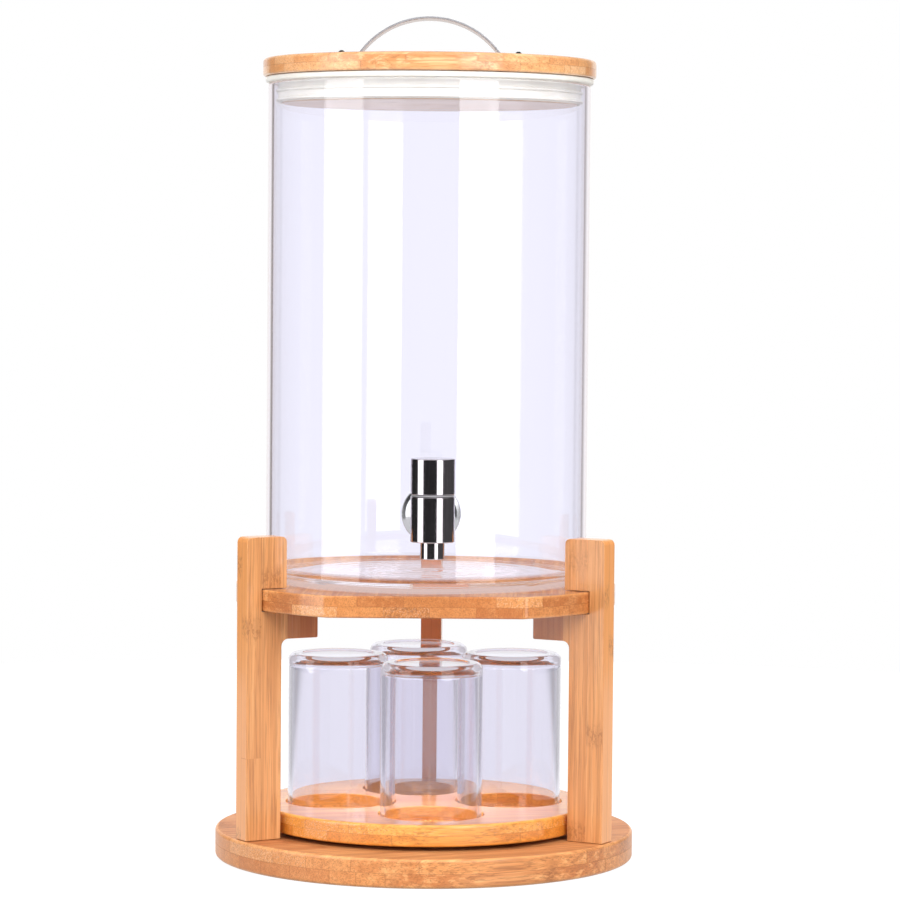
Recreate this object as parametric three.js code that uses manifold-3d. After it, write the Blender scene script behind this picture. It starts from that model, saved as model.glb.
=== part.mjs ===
// Glass beverage dispenser on a round bamboo stand: a straight glass jar with a
// quarter-turn tap and a bamboo lid, carried by three legs over a turntable of
// four upturned glasses. Millimetres, +Z up, front (tap side) towards -Y.
// The origin is the centre of the base board's underside.
import * as THREE from "three";
import { mergeVertices } from "three/addons/utils/BufferGeometryUtils.js";
import Module from "manifold-3d";

const wasm = await Module();
wasm.setup();

// ---------------------------------------------------------------- driving dimensions
const GAP = 0.3; // between pieces that touch

const BASE = { radius: 117.5, thick: 16, edge: 1.6 };
const LEG = {
  thick: 12, // across the radial plane
  outer: 116, // radial distance of the outer edge
  inner: 94.5, // radial distance of the post's inner edge
  prongInner: 91.5, // inner edge of the prong that stops the jar sliding
  bracketInner: 72, // tip of the bracket that carries the support board
  bracketLow: 126.6, // underside of the bracket
  top: 183,
  corner: 4, // inside corner under the bracket
  round: 2.5, // outside corners
  angles: { left: 210, right: 330, back: 88 }, // degrees about +Z from +X
};
const SUPPORT = { radius: 106.5, low: 142.4, thick: 12, flatFront: 92.5 };
const TRAY = { radius: 92, thick: 12, low: 18.4, edge: 1, turn: 4.5 };
const POCKET = { radius: 29, depth: 8, ring: 49 };
const CUP = { radius: 28, wall: 2.3, floor: 3, height: 91.5, shoulder: 4 };
const JAR = {
  radius: 90,
  wall: 3,
  floor: 5.5,
  height: 278,
  corner: 6,
  turn: 1.55, // the loose jar stands with its tap a little to the right
};
const LID = { radius: 93, thick: 10, edge: 1.5 };
const PLUG = { radius: 82.5, depth: 15 };
const SEAL = { flange: 91.5, flangeThick: 3.2, skirt: 84.6, lip: 86.6, height: 14.4 };
const STRAP = { width: 22, thick: 1.2, rise: 23.8, archRadius: 48.1, bend: 4, end: 57, screw: 49.4 };
const BEARING = {
  inner: 39,
  outer: 61,
  ballRing: 50,
  ball: 2.4,
  balls: 12,
  ringThick: 3.5,
  grooveHalf: 3.2,
  grooveDeep: 1.9,
  low: 9.3,
  screwRing: 57.3,
};
const TAP = {
  y: -122, // vertical axis of the tap body
  z: 199.2, // axis of the shank through the jar wall
  radius: 11.8,
  bodyLow: 186.2,
  bodyTop: 210.2,
  knobLow: 211.5,
  knobTop: 230.4,
  nozzleLow: 177,
  nozzle: 6.5,
  spigot: 5, // the nozzle's upper end, inside the body
  bore: 4,
  neck: 9,
  neckEnd: -98.5,
  socket: 9, // how far the shank goes into the neck
  shank: 7.8,
  shankEnd: -70,
  hole: 8.3, // through the jar wall
};
const VALVE = {
  bore: 6.3,
  floor: 191.7,
  counterbore: 9,
  ledge: 202.5,
  port: 3.2,
  grooveLow: 193.2,
  grooveHigh: 194.8,
  groove: 5.1,
  collar: 8,
  collarTop: 204.2,
  post: 4.4, // the square-shouldered top that carries the knob
  postTop: 224.2,
  grub: 218.2, // height of the knob's set screw
};
const ESCUTCHEON = { radius: 15.9, hub: 10.2, back: -94, rim: 0.9, dish: 1.9 };
const GASKET = { outer: 14, outerFrom: -93.7, outerTo: -88, inner: 12.5, innerFrom: -90, innerTo: -83 };
const NUT = { radius: 12.7, from: -82.7, to: -76.7 };
const ORING = { ring: 5.65, section: 0.45 };

// Levels that follow from them.
const supportTop = SUPPORT.low + SUPPORT.thick;
const jarLow = supportTop + GAP;
const jarTop = jarLow + JAR.height;
const sealTop = jarTop + GAP + SEAL.flangeThick;
const lidLow = sealTop + 0.2;
const lidTop = lidLow + LID.thick;
const trayTop = TRAY.low + TRAY.thick;
const cupLow = trayTop - POCKET.depth + GAP;
const recess = { inner: BEARING.inner - 1, outer: BEARING.outer + 1, floor: BEARING.low - GAP };
const bearingHigh = TRAY.low - GAP - BEARING.ringThick; // underside of the upper ring

// Faces around a full turn, for large, middle and small round pieces.
const WIDE = 48;
const ROUND = 32;
const SMALL = 20;
const TINY = 8;

// ---------------------------------------------------------------- materials
function material(color, roughness, metalness, extra = {}) {
  return new THREE.MeshStandardMaterial({ color, roughness, metalness, ...extra });
}
const bamboo = material(0xe0a468, 0.45, 0);
const bambooTray = material(0xe8a24a, 0.4, 0);
const clearGlass = material(0xeef0f8, 0.05, 0, { transparent: true, opacity: 0.3 });
const steel = material(0xb8b8bc, 0.22, 1);
const zinc = material(0x9a9ca0, 0.4, 1);
const brass = material(0xb89a52, 0.35, 1);
const silicone = material(0xece9e2, 0.6, 0);
const blackSteel = material(0x1a1a1c, 0.4, 0.6);
const rubber = material(0x242426, 0.8, 0);

// ---------------------------------------------------------------- shape helpers
const rad = THREE.MathUtils.degToRad;

// A solid of revolution about +Z. The profile is [radius, height] pairs.
function lathe(profile, segments) {
  const points = profile.map(([r, h]) => new THREE.Vector2(r, h));
  return new THREE.LatheGeometry(points, segments).rotateX(Math.PI / 2);
}

// The same about +Y, with heights running along +Y.
function latheY(profile, segments) {
  const points = profile.map(([r, h]) => new THREE.Vector2(r, h));
  return new THREE.LatheGeometry(points, segments);
}

// A plain cylinder from z = low to z = high.
function post(radius, low, high, segments) {
  return lathe([[0, low], [radius, low], [radius, high], [0, high]], segments);
}

// A plain cylinder along Y.
function postY(radius, from, to, segments) {
  return latheY([[0, from], [radius, from], [radius, to], [0, to]], segments);
}

// A disc with its rims rounded off by a chamfer.
function disc(radius, low, thick, edge, segments) {
  const high = low + thick;
  const rims = [
    [radius - edge, low],
    [radius, low + edge],
    [radius, high - edge],
    [radius - edge, high],
  ];
  return lathe([[0, low], ...rims, [0, high]], segments);
}

// A tube standing on z = low.
function tube(inner, outer, low, high, segments) {
  return lathe([[inner, low], [outer, low], [outer, high], [inner, high], [inner, low]], segments);
}

function tubeY(inner, outer, from, to, segments) {
  return latheY([[inner, from], [outer, from], [outer, to], [inner, to], [inner, from]], segments);
}

// A closed geometry as a manifold-3d solid, and back.
function toSolid(geometry) {
  const bare = geometry.clone();
  bare.deleteAttribute("normal");
  bare.deleteAttribute("uv");
  const merged = mergeVertices(bare, 1e-4);
  return new wasm.Manifold(
    new wasm.Mesh({
      numProp: 3,
      vertProperties: merged.attributes.position.array,
      triVerts: new Uint32Array(merged.index.array),
    }),
  );
}

function toGeometry(solid) {
  const found = solid.getMesh();
  return new THREE.BufferGeometry()
    .setAttribute("position", new THREE.BufferAttribute(found.vertProperties, 3))
    .setIndex(new THREE.BufferAttribute(found.triVerts, 1));
}

function cut(geometry, ...tools) {
  return toGeometry(tools.reduce((left, tool) => left.subtract(toSolid(tool)), toSolid(geometry)));
}

function join(geometry, ...others) {
  return toGeometry(others.reduce((whole, other) => whole.add(toSolid(other)), toSolid(geometry)));
}

function common(geometry, other) {
  return toGeometry(toSolid(geometry).intersect(toSolid(other)));
}

// Every sub-part is one named mesh in this group.
const dispenser = new THREE.Group();

function add(name, geometry, finish, place = {}) {
  const mesh = new THREE.Mesh(geometry, finish);
  mesh.name = name;
  mesh.position.set(place.x ?? 0, place.y ?? 0, place.z ?? 0);
  mesh.rotation.z = rad(place.turn ?? 0);
  dispenser.add(mesh);
  return mesh;
}

// The point at a radius and an angle about +Z.
function around(radius, degrees) {
  return { x: radius * Math.cos(rad(degrees)), y: radius * Math.sin(rad(degrees)) };
}

// ---------------------------------------------------------------- screws
// A countersunk screw with its head's face at z = 0 and its tip at z = length. The
// grown profile is the hole that clears it, which runs on past the face.
function screwProfile({ head, headHigh, shank, length }, grow = 0) {
  return [
    [0, -8 * grow],
    [head + grow, -8 * grow],
    [head + grow, 0.4],
    [shank + grow, headHigh],
    [shank + grow, length - shank],
    [0, length + grow],
  ];
}
const WOOD_SCREW = { head: 4, headHigh: 2.8, shank: 1.9, length: 40 };
const SUPPORT_SCREW = { head: 3.5, headHigh: 2.4, shank: 1.7, length: 24 };
const RING_SCREW = { head: 2.6, headHigh: 1.8, shank: 1.3, length: 8 };

const screw = (size) => lathe(screwProfile(size), TINY);
const screwHole = (size, x, y, z) => lathe(screwProfile(size, GAP), TINY).translate(x, y, z);
const downward = (geometry) => geometry.rotateX(Math.PI);

// ---------------------------------------------------------------- stand
const legScrewRadii = { inner: 100.5, outer: 110 };
const legScrewLow = 0.8;
const supportScrewRadius = 82;
const supportScrewLow = LEG.bracketLow + 0.5;
const lowerScrewAngles = { a: 0, b: 120, c: 240 };
const lowerScrewHigh = BEARING.low + BEARING.ringThick - 0.1;
const accessAngle = 60; // the hole through which a driver reaches the upper ring's screws
const accessRadius = 3.2;

function baseBoard() {
  const { radius, thick, edge } = BASE;
  const board = lathe(
    [
      [0, 0],
      [radius - edge, 0],
      [radius, edge],
      [radius, thick - edge],
      [radius - edge, thick],
      [recess.outer, thick],
      [recess.outer, recess.floor],
      [recess.inner, recess.floor],
      [recess.inner, thick],
      [0, thick],
    ],
    WIDE,
  );
  const holes = [];
  for (const angle of Object.values(LEG.angles)) {
    for (const reach of Object.values(legScrewRadii)) {
      const at = around(reach, angle);
      holes.push(screwHole(WOOD_SCREW, at.x, at.y, legScrewLow));
    }
  }
  for (const angle of Object.values(lowerScrewAngles)) {
    const at = around(BEARING.screwRing, angle);
    holes.push(downward(screwHole(RING_SCREW, 0, 0, 0)).translate(at.x, at.y, lowerScrewHigh));
  }
  const access = around(BEARING.screwRing, accessAngle);
  holes.push(post(5, -1, thick, SMALL).translate(access.x, access.y, 0));
  return cut(board, ...holes);
}

// A leg in its radial plane: a post with a bracket under the support board and a
// prong above it, with the board's rim let into the slot between them.
function leg() {
  const low = BASE.thick + GAP;
  const slotLow = SUPPORT.low - GAP;
  const slotHigh = supportTop + GAP;
  const slotEnd = SUPPORT.radius + GAP;
  const { outer, inner, prongInner, bracketInner, bracketLow, top, corner, round } = LEG;
  const side = new THREE.Shape();
  side.moveTo(outer, low);
  side.lineTo(outer, top - round);
  side.absarc(outer - round, top - round, round, 0, Math.PI / 2, false);
  side.lineTo(prongInner + round, top);
  side.absarc(prongInner + round, top - round, round, Math.PI / 2, Math.PI, false);
  side.lineTo(prongInner, slotHigh);
  side.lineTo(slotEnd, slotHigh);
  side.lineTo(slotEnd, slotLow);
  side.lineTo(bracketInner, slotLow);
  side.lineTo(bracketInner, bracketLow);
  side.lineTo(inner - corner, bracketLow);
  side.absarc(inner - corner, bracketLow - corner, corner, Math.PI / 2, 0, true);
  side.lineTo(inner, low);
  const plank = new THREE.ExtrudeGeometry(side, {
    depth: LEG.thick,
    bevelEnabled: false,
    curveSegments: 4,
  })
    .translate(0, 0, -LEG.thick / 2)
    .rotateX(Math.PI / 2);
  return cut(
    plank,
    screwHole(WOOD_SCREW, legScrewRadii.inner, 0, legScrewLow),
    screwHole(WOOD_SCREW, legScrewRadii.outer, 0, legScrewLow),
    screwHole(SUPPORT_SCREW, supportScrewRadius, 0, supportScrewLow),
  );
}

// The round board under the jar, cut flat at the front so that the tap clears it.
function supportBoard() {
  const { radius, low, thick, flatFront } = SUPPORT;
  const meet = Math.asin(flatFront / radius);
  const plan = new THREE.Shape();
  plan.absarc(0, 0, radius, -meet, Math.PI + meet, false);
  const board = new THREE.ExtrudeGeometry(plan, {
    depth: thick,
    bevelEnabled: false,
    curveSegments: ROUND,
  }).translate(0, 0, low);
  const holes = Object.values(LEG.angles).map((angle) => {
    const at = around(supportScrewRadius, angle);
    return screwHole(SUPPORT_SCREW, at.x, at.y, supportScrewLow);
  });
  return cut(board, ...holes);
}

function buildStand() {
  add("base_board", baseBoard(), bamboo);
  add("support_board", supportBoard(), bamboo);
  for (const [side, angle] of Object.entries(LEG.angles)) {
    add(`leg_${side}`, leg(), bamboo, { turn: angle });
    for (const [where, reach] of Object.entries(legScrewRadii)) {
      const at = around(reach, angle);
      add(`leg_screw_${side}_${where}`, screw(WOOD_SCREW), zinc, { ...at, z: legScrewLow });
    }
    const at = around(supportScrewRadius, angle);
    add(`support_screw_${side}`, screw(SUPPORT_SCREW), zinc, { ...at, z: supportScrewLow });
  }
}

// ---------------------------------------------------------------- turntable
// One ring of the thrust bearing, its groove facing +Z, standing on z = 0.
function bearingRing() {
  const { inner, outer, ballRing, grooveHalf, grooveDeep, ringThick } = BEARING;
  return lathe(
    [
      [inner, 0],
      [outer, 0],
      [outer, ringThick],
      [ballRing + grooveHalf, ringThick],
      [ballRing + grooveHalf - 0.8, ringThick - grooveDeep],
      [ballRing - grooveHalf + 0.8, ringThick - grooveDeep],
      [ballRing - grooveHalf, ringThick],
      [inner, ringThick],
      [inner, 0],
    ],
    ROUND,
  );
}

function lowerRing() {
  const access = around(BEARING.screwRing, accessAngle);
  const holes = [post(accessRadius, -1, BEARING.ringThick + 1, SMALL).translate(access.x, access.y, 0)];
  for (const angle of Object.values(lowerScrewAngles)) {
    const at = around(BEARING.screwRing, angle);
    holes.push(downward(screwHole(RING_SCREW, 0, 0, 0)).translate(at.x, at.y, BEARING.ringThick - 0.1));
  }
  return cut(bearingRing(), ...holes);
}

const upperScrewAngles = { a: 45, b: 135, c: 225, d: 315 };
const upperScrewLow = bearingHigh + 0.1;

function upperRing() {
  const holes = Object.values(upperScrewAngles).map((angle) => {
    const at = around(BEARING.screwRing, angle);
    return screwHole(RING_SCREW, at.x, at.y, upperScrewLow);
  });
  const ring = downward(bearingRing()).translate(0, 0, bearingHigh + BEARING.ringThick);
  return cut(ring, ...holes);
}

// The balls and the thin retainer that spaces them, which goes round with them.
function ballCage() {
  const { ballRing, ball, balls } = BEARING;
  const level = (BEARING.low + BEARING.ringThick + bearingHigh) / 2;
  const retainer = tube(ballRing - 4, ballRing + 4, level - 0.4, level + 0.4, ROUND);
  const spheres = Array.from({ length: balls }, (_, i) => {
    const at = around(ballRing, (360 * i) / balls);
    return new THREE.SphereGeometry(ball, 8, 6).rotateX(Math.PI / 2).translate(at.x, at.y, level);
  });
  return join(retainer, ...spheres);
}

function trayBoard() {
  const board = disc(TRAY.radius, TRAY.low, TRAY.thick, TRAY.edge, WIDE);
  const pockets = [0, 90, 180, 270].map((angle) => {
    const at = around(POCKET.ring, angle);
    return post(POCKET.radius, trayTop - POCKET.depth, trayTop + 1, ROUND).translate(at.x, at.y, 0);
  });
  const holes = Object.values(upperScrewAngles).map((angle) => {
    const at = around(BEARING.screwRing, angle);
    return screwHole(RING_SCREW, at.x, at.y, upperScrewLow);
  });
  return cut(board, ...pockets, ...holes);
}

function buildTurntable() {
  add("bearing_lower_ring", lowerRing(), zinc, { z: BEARING.low });
  for (const [key, angle] of Object.entries(lowerScrewAngles)) {
    const at = around(BEARING.screwRing, angle);
    add(`bearing_lower_screw_${key}`, downward(screw(RING_SCREW)), zinc, { ...at, z: lowerScrewHigh });
  }
  add("bearing_ball_cage", ballCage(), steel);
  add("bearing_upper_ring", upperRing(), zinc, { turn: TRAY.turn });
  for (const [key, angle] of Object.entries(upperScrewAngles)) {
    const at = around(BEARING.screwRing, angle + TRAY.turn);
    add(`bearing_upper_screw_${key}`, screw(RING_SCREW), zinc, { ...at, z: upperScrewLow });
  }
  add("tray_board", trayBoard(), bambooTray, { turn: TRAY.turn });
}

// ---------------------------------------------------------------- glasses
// A quarter circle in three steps, from the side at this radius over to the flat at
// this height.
function shoulderPoints(radius, height, bend) {
  return [0, 30, 60, 90].map((angle) => [
    radius - bend * (1 - Math.cos(rad(angle))),
    height - bend * (1 - Math.sin(rad(angle))),
  ]);
}

// A straight tumbler standing upside down, its rim at z = 0.
function cup() {
  const { radius, wall, floor, height, shoulder } = CUP;
  const inside = radius - wall;
  const ceiling = height - floor;
  return lathe(
    [
      [0, ceiling],
      ...shoulderPoints(inside, ceiling, shoulder).reverse(),
      [inside, 0],
      [radius, 0],
      ...shoulderPoints(radius, height, shoulder),
      [0, height],
    ],
    ROUND,
  );
}

function buildCups() {
  const places = { front: 270, right: 0, back: 90, left: 180 };
  for (const [side, angle] of Object.entries(places)) {
    const at = around(POCKET.ring, angle + TRAY.turn);
    add(`cup_${side}`, cup(), clearGlass, { ...at, z: cupLow });
  }
}

// ---------------------------------------------------------------- jar
function glassJar() {
  const { radius, wall, floor, height, corner } = JAR;
  const inside = radius - wall;
  const lip = wall / 2;
  const shell = lathe(
    [
      [0, 0],
      [radius - corner, 0],
      [radius - corner * 0.3, corner * 0.3],
      [radius, corner],
      [radius, height - lip],
      [radius - lip, height],
      [inside, height - lip],
      [inside, floor + corner - 1],
      [inside - 1.6, floor + 1.4],
      [inside - corner, floor],
      [0, floor],
    ],
    WIDE,
  ).translate(0, 0, jarLow);
  return cut(shell, postY(TAP.hole, -radius - 5, -inside + 6, SMALL).translate(0, 0, TAP.z));
}

// ---------------------------------------------------------------- tap
function tapBody() {
  const body = post(TAP.radius, TAP.bodyLow, TAP.bodyTop, ROUND).translate(0, TAP.y, 0);
  const neck = postY(TAP.neck, TAP.y + 6, TAP.neckEnd, ROUND).translate(0, 0, TAP.z);
  const tools = [
    post(VALVE.bore, VALVE.floor, TAP.bodyTop + 1, SMALL).translate(0, TAP.y, 0),
    post(VALVE.counterbore, VALVE.ledge, TAP.bodyTop + 1, SMALL).translate(0, TAP.y, 0),
    post(TAP.spigot + GAP, TAP.bodyLow - 1, VALVE.floor + 0.5, SMALL).translate(0, TAP.y, 0),
    postY(TAP.bore, TAP.y, TAP.neckEnd + 1, SMALL).translate(0, 0, TAP.z),
    postY(TAP.shank + GAP, TAP.neckEnd - TAP.socket, TAP.neckEnd + 1, SMALL).translate(0, 0, TAP.z),
  ];
  return cut(join(body, neck), ...tools);
}

// The plug valve: an elbow port, closed at rest because it faces sideways.
function valveStem() {
  const side = VALVE.bore - GAP;
  const low = VALVE.floor + 0.4;
  const shoulder = VALVE.ledge + GAP;
  const stem = lathe(
    [
      [0, low],
      [side, low],
      [side, VALVE.grooveLow],
      [VALVE.groove, VALVE.grooveLow],
      [VALVE.groove, VALVE.grooveHigh],
      [side, VALVE.grooveHigh],
      [side, shoulder],
      [VALVE.collar, shoulder],
      [VALVE.collar, VALVE.collarTop],
      [VALVE.post, VALVE.collarTop],
      [VALVE.post, VALVE.postTop],
      [0, VALVE.postTop],
    ],
    SMALL,
  );
  const port = [
    post(VALVE.port, VALVE.floor - 0.5, TAP.z, SMALL),
    postY(VALVE.port, 0, VALVE.collar, SMALL).rotateZ(-Math.PI / 2).translate(0, 0, TAP.z),
    new THREE.SphereGeometry(VALVE.port, 12, 8).translate(0, 0, TAP.z),
  ];
  return cut(stem, ...port).translate(0, TAP.y, 0);
}

function tapNozzle() {
  const low = TAP.nozzleLow;
  const shoulder = TAP.bodyLow - GAP;
  return lathe(
    [
      [TAP.bore, low],
      [TAP.nozzle, low],
      [TAP.nozzle, shoulder],
      [TAP.spigot, shoulder],
      [TAP.spigot, VALVE.floor - 0.6],
      [TAP.bore, VALVE.floor - 0.6],
      [TAP.bore, low],
    ],
    SMALL,
  ).translate(0, TAP.y, 0);
}

function tapKnob() {
  const knob = lathe(
    [
      [0, TAP.knobLow],
      [TAP.radius, TAP.knobLow],
      [TAP.radius, TAP.knobTop - 0.6],
      [TAP.radius - 0.6, TAP.knobTop],
      [0, TAP.knobTop],
    ],
    ROUND,
  );
  const tools = [
    post(VALVE.post + GAP, TAP.knobLow - 1, VALVE.postTop + GAP, SMALL),
    postY(2, 0, TAP.radius + 1, TINY).translate(0, 0, VALVE.grub),
  ];
  return cut(knob, ...tools).translate(0, TAP.y, 0);
}

// A dished washer between the neck and the outer gasket.
function escutcheon() {
  const { radius, hub, back, rim, dish } = ESCUTCHEON;
  const front = TAP.neckEnd + GAP;
  const inner = TAP.shank + GAP;
  return latheY(
    [
      [inner, front],
      [hub, front],
      [radius - 2.2, back - dish],
      [radius, back - rim],
      [radius, back],
      [inner, back],
      [inner, front],
    ],
    ROUND,
  ).translate(0, 0, TAP.z);
}

// Flat rings squeezed onto the jar wall, outside and inside.
function outerGasket() {
  const ring = tubeY(TAP.shank + GAP, GASKET.outer, GASKET.outerFrom, GASKET.outerTo, ROUND);
  const wall = post(JAR.radius + GAP, TAP.z - 20, TAP.z + 20, WIDE * 2);
  return cut(ring.translate(0, 0, TAP.z), wall);
}

function innerGasket() {
  const ring = tubeY(TAP.shank + GAP, GASKET.inner, GASKET.innerFrom, GASKET.innerTo, ROUND);
  const room = post(JAR.radius - JAR.wall - GAP, TAP.z - 20, TAP.z + 20, WIDE * 2);
  return common(ring.translate(0, 0, TAP.z), room);
}

function lockNut() {
  const hexagon = postY(NUT.radius, NUT.from, NUT.to, 6);
  const thread = postY(TAP.shank + GAP, NUT.from - 1, NUT.to + 1, SMALL);
  return cut(hexagon, thread).translate(0, 0, TAP.z);
}

function tapShank() {
  const from = TAP.neckEnd - TAP.socket + GAP;
  return tubeY(TAP.bore, TAP.shank, from, TAP.shankEnd, SMALL).translate(0, 0, TAP.z);
}

function stemOring() {
  const level = (VALVE.grooveLow + VALVE.grooveHigh) / 2;
  return new THREE.TorusGeometry(ORING.ring, ORING.section, 6, SMALL).translate(0, TAP.y, level);
}

function glandRing() {
  const low = VALVE.collarTop + GAP;
  return tube(VALVE.post + GAP, VALVE.counterbore - GAP, low, low + 4, SMALL).translate(0, TAP.y, 0);
}

function bodyWasher() {
  return tube(5, TAP.radius - 0.5, TAP.bodyTop + 0.2, TAP.knobLow - 0.2, ROUND).translate(0, TAP.y, 0);
}

function grubScrew() {
  return postY(1.7, 4.8, TAP.radius - 0.5, TINY).translate(0, TAP.y, VALVE.grub);
}

function buildJar() {
  const pieces = [
    ["glass_jar", glassJar(), clearGlass],
    ["tap_outer_gasket", outerGasket(), silicone],
    ["tap_escutcheon", escutcheon(), steel],
    ["tap_inner_gasket", innerGasket(), silicone],
    ["tap_lock_nut", lockNut(), steel],
    ["tap_shank", tapShank(), steel],
    ["tap_body", tapBody(), steel],
    ["tap_nozzle", tapNozzle(), steel],
    ["tap_gland_ring", glandRing(), brass],
    ["tap_body_washer", bodyWasher(), silicone],
    ["tap_valve_stem", valveStem(), brass],
    ["tap_stem_oring", stemOring(), rubber],
    ["tap_knob", tapKnob(), steel],
    ["tap_grub_screw", grubScrew(), blackSteel],
  ];
  for (const [name, geometry, finish] of pieces) {
    add(name, geometry, finish, { turn: JAR.turn });
  }
}

// ---------------------------------------------------------------- lid
function lidSeal() {
  const { flange, flangeThick, skirt, lip, height } = SEAL;
  const inner = PLUG.radius + GAP;
  const low = sealTop - height;
  const step = sealTop - flangeThick;
  return lathe(
    [
      [inner, low],
      [skirt, low],
      [lip, low + 0.8],
      [skirt, low + 2.4],
      [skirt, step],
      [flange - 0.8, step],
      [flange, step + 1],
      [flange, sealTop],
      [inner, sealTop],
      [inner, low],
    ],
    WIDE,
  );
}

// The strap's centre line in the XZ plane: a foot, a bend and half of the arch.
function strapHalf() {
  const footZ = lidTop + GAP + STRAP.thick / 2;
  const archZ = lidTop + STRAP.rise - STRAP.thick / 2 - STRAP.archRadius;
  const bendZ = footZ + STRAP.bend;
  const bendX = Math.sqrt((STRAP.archRadius + STRAP.bend) ** 2 - (bendZ - archZ) ** 2);
  const meet = Math.atan2(bendZ - archZ, bendX);
  const points = [[STRAP.end, footZ]];
  const bendSteps = 4;
  for (let i = 0; i <= bendSteps; i++) {
    const angle = -Math.PI / 2 - ((Math.PI / 2 - meet) * i) / bendSteps;
    points.push([bendX + STRAP.bend * Math.cos(angle), bendZ + STRAP.bend * Math.sin(angle)]);
  }
  const archSteps = 12;
  for (let i = 1; i <= archSteps; i++) {
    const angle = meet + ((Math.PI / 2 - meet) * i) / archSteps;
    points.push([STRAP.archRadius * Math.cos(angle), archZ + STRAP.archRadius * Math.sin(angle)]);
  }
  return points;
}

function lidHandle() {
  const half = strapHalf();
  const mirrored = half.slice(0, -1).reverse().map(([x, z]) => [-x, z]);
  const line = [...half, ...mirrored].map(([x, z]) => new THREE.Vector2(x, z));
  const upper = [];
  const lower = [];
  line.forEach((point, i) => {
    const before = line[Math.max(i - 1, 0)];
    const after = line[Math.min(i + 1, line.length - 1)];
    const along = after.clone().sub(before).normalize();
    const side = new THREE.Vector2(along.y, -along.x).multiplyScalar(STRAP.thick / 2);
    upper.push(point.clone().add(side));
    lower.push(point.clone().sub(side));
  });
  const section = new THREE.Shape([...upper, ...lower.reverse()]);
  const strap = new THREE.ExtrudeGeometry(section, { depth: STRAP.width, bevelEnabled: false })
    .translate(0, 0, -STRAP.width / 2)
    .rotateX(Math.PI / 2);
  const hole = post(HANDLE_SCREW.shank + 0.5, lidTop, lidTop + 3, SMALL);
  const holes = [-1, 1].map((side) => hole.clone().translate(side * STRAP.screw, 0, 0));
  return cut(strap, ...holes);
}

// A round-head screw, its head on the strap.
const HANDLE_SCREW = { head: 2.5, headHigh: 3.6, shank: 1.5, length: 8.5 };

function handleScrew() {
  const { head, headHigh, shank, length } = HANDLE_SCREW;
  const low = lidTop + GAP + STRAP.thick + 0.2;
  return lathe(
    [
      [0, low - length],
      [shank, low - length + 2],
      [shank, low],
      [head, low],
      [head, low + headHigh * 0.35],
      [head * 0.82, low + headHigh * 0.75],
      [head * 0.42, low + headHigh * 0.96],
      [0, low + headHigh],
    ],
    SMALL / 2,
  );
}

function buildLid() {
  const sides = { left: -1, right: 1 };
  const pilot = post(HANDLE_SCREW.shank + GAP, lidTop - 8, lidTop + 1, TINY);
  const board = cut(
    disc(LID.radius, lidLow, LID.thick, LID.edge, WIDE),
    ...Object.values(sides).map((side) => pilot.clone().translate(side * STRAP.screw, 0, 0)),
  );
  add("lid_board", board, bamboo);
  add("lid_plug", disc(PLUG.radius, sealTop - PLUG.depth, PLUG.depth, 1, WIDE), bamboo);
  add("lid_seal", lidSeal(), silicone);
  add("lid_handle", lidHandle(), steel);
  for (const [name, side] of Object.entries(sides)) {
    add(`lid_handle_screw_${name}`, handleScrew(), blackSteel, { x: side * STRAP.screw });
  }
}

// ---------------------------------------------------------------- assembly
buildStand();
buildTurntable();
buildCups();
buildJar();
buildLid();

export default dispenser;
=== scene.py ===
import math

import bpy
import bmesh
from mathutils import Matrix, Vector


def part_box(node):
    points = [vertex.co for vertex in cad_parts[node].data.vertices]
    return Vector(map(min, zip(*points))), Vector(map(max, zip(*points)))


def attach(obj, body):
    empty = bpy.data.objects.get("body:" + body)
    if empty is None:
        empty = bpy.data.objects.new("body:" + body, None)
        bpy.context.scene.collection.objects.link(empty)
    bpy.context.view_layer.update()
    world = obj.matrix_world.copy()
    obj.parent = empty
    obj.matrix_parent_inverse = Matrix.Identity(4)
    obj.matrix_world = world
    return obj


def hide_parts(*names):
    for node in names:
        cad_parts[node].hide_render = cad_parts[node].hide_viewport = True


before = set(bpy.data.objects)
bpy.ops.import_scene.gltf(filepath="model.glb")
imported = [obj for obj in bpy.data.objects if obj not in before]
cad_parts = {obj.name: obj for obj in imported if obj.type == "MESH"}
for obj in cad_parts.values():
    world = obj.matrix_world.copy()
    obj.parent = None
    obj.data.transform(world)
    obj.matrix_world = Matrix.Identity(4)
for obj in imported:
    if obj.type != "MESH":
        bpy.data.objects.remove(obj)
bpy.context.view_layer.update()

MM = 0.001
scene = bpy.context.scene

# ------------------------------------------------------------------ the camera
CAMERA_BACK = 2.056  # horizontal distance from the jar's axis
CAMERA_HIGH = 0.3373
AIM = Vector((0.0130, 0.0, 0.2285))
ROLL = math.radians(0.48)
LENS = 146.6

camera = bpy.data.objects.new("camera", bpy.data.cameras.new("camera"))
scene.collection.objects.link(camera)
camera.data.lens = LENS
camera.data.sensor_width = 36.0
camera.data.clip_end = 50.0
camera.location = (0.0, -CAMERA_BACK, CAMERA_HIGH)
look = (AIM - camera.location).to_track_quat("-Z", "Y").to_matrix().to_4x4()
camera.matrix_world = Matrix.Translation(camera.location) @ look @ Matrix.Rotation(ROLL, 4, "Z")
scene.camera = camera

# ------------------------------------------------------------------ mesh helpers
def new_object(name, mesh):
    piece = bpy.data.objects.new(name, mesh)
    scene.collection.objects.link(piece)
    return piece


def smooth(mesh, angle=30.0):
    for face in mesh.polygons:
        face.use_smooth = True
    mesh.set_sharp_from_angle(angle=math.radians(angle))


def from_bmesh(name, bm, angle=30.0):
    bmesh.ops.recalc_face_normals(bm, faces=bm.faces)
    mesh = bpy.data.meshes.new(name)
    bm.to_mesh(mesh)
    bm.free()
    smooth(mesh, angle)
    return new_object(name, mesh)


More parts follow.
